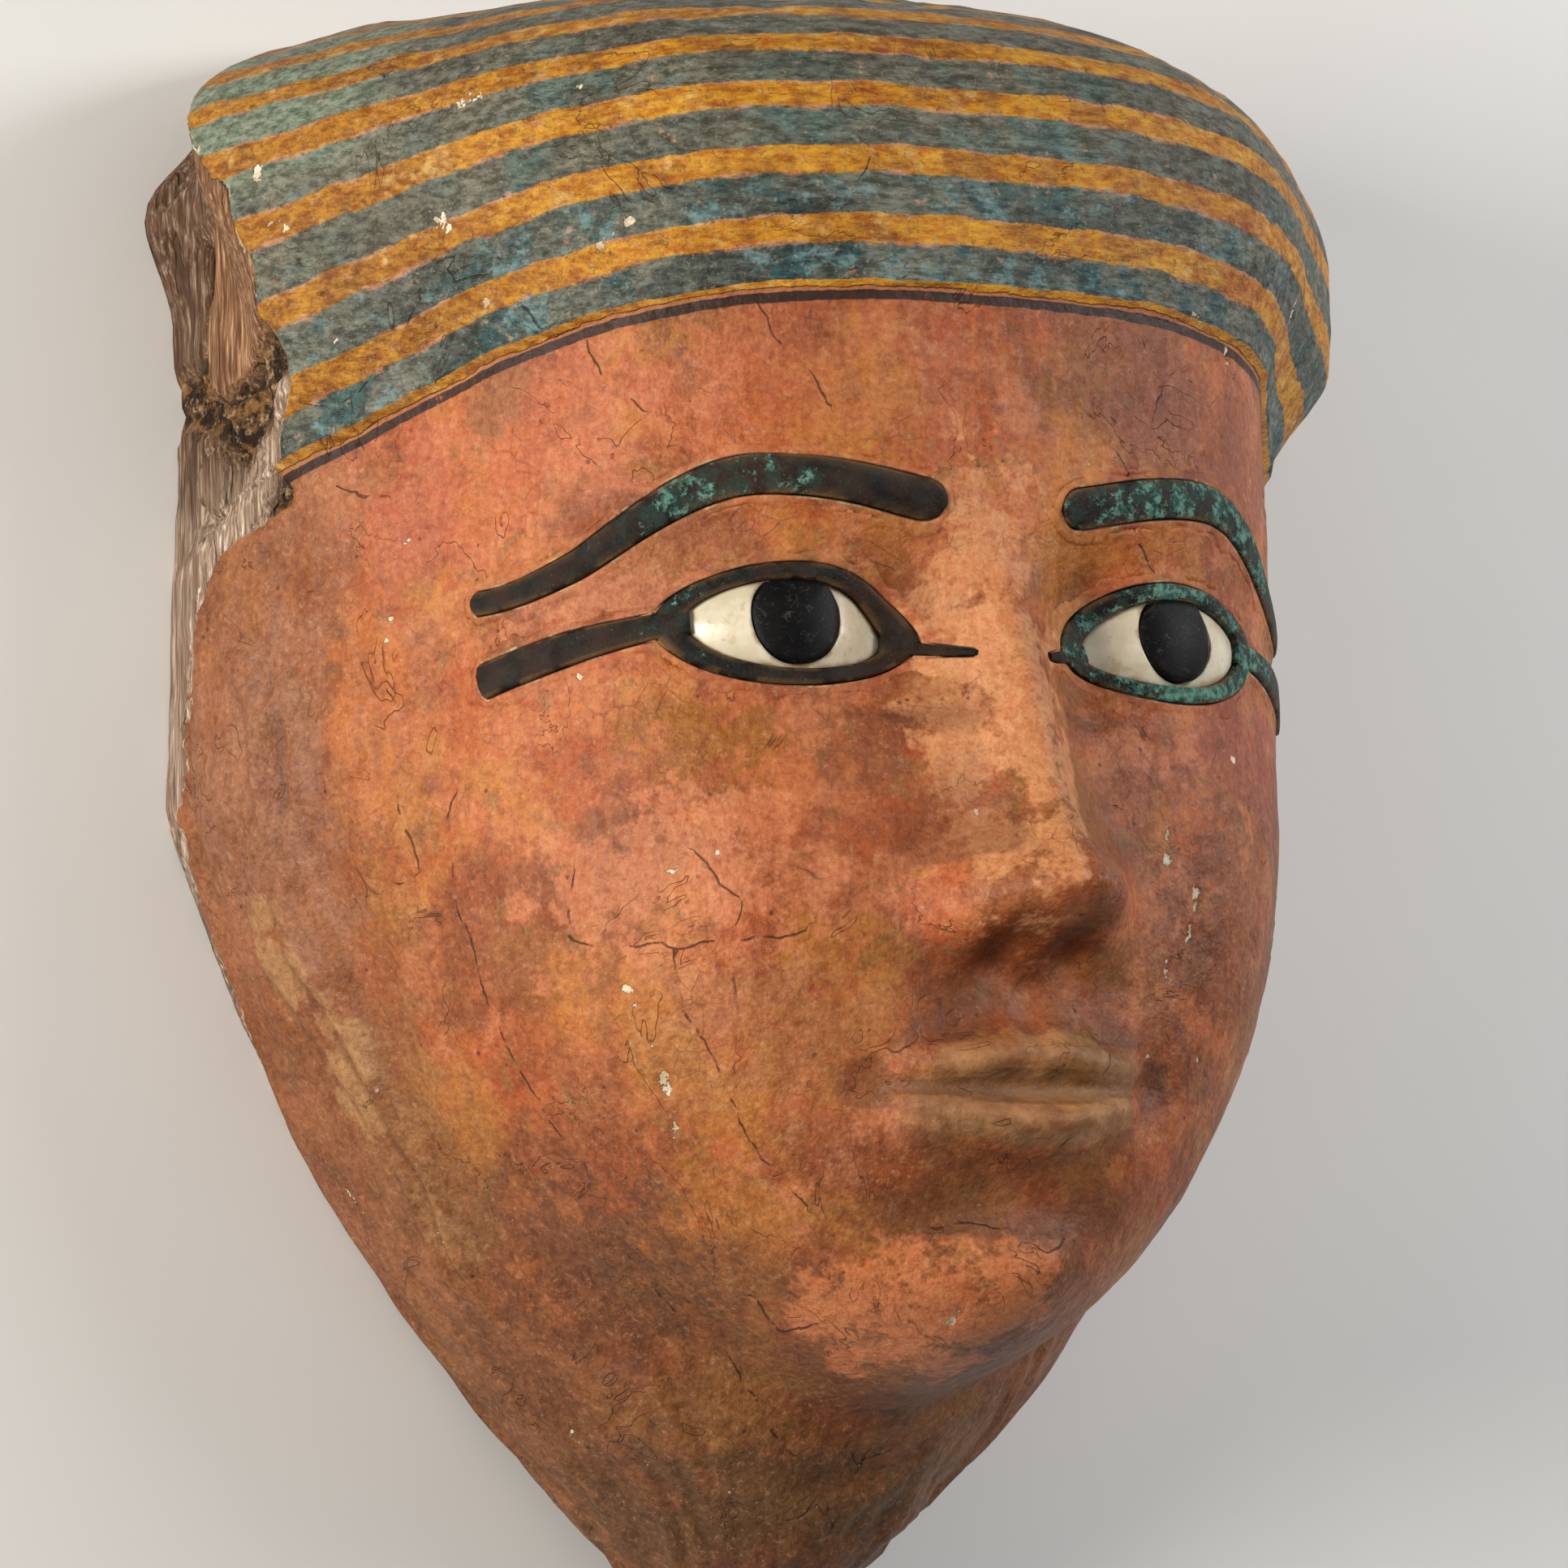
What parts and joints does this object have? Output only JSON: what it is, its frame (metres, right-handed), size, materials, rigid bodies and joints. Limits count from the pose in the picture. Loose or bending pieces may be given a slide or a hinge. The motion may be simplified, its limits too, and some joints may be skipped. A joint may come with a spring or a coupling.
{
  "type": "mummy mask",
  "caption": "Painted wooden mummy mask of a face in a striped headcloth, with inlaid brows and eyes, hollow behind, lying on its back edge.",
  "frame": {"origin": "on the plane that the back edge rests on, under the middle of the mask's width and height", "axes": "+Z is the way the face looks, +Y runs from the throat to the crown, +X is the mask's own left"},
  "size_m": [0.2802, 0.34, 0.1676],
  "materials": {
    "painted_wood": "matt paint on gesso over carved wood",
    "aged_copper": "dark and dull, with turquoise corrosion",
    "pale_stone": "polished, stained at its edges",
    "black_stone": "glassy, scratched"
  },
  "bodies": {
    "root": {"mask_body": "painted_wood", "right_brow": "aged_copper", "left_brow": "aged_copper", "right_eye_rim": "aged_copper", "left_eye_rim": "aged_copper", "right_eye_white": "pale_stone", "left_eye_white": "pale_stone", "right_iris": "black_stone", "left_iris": "black_stone"}
  },
  "joints": []
}
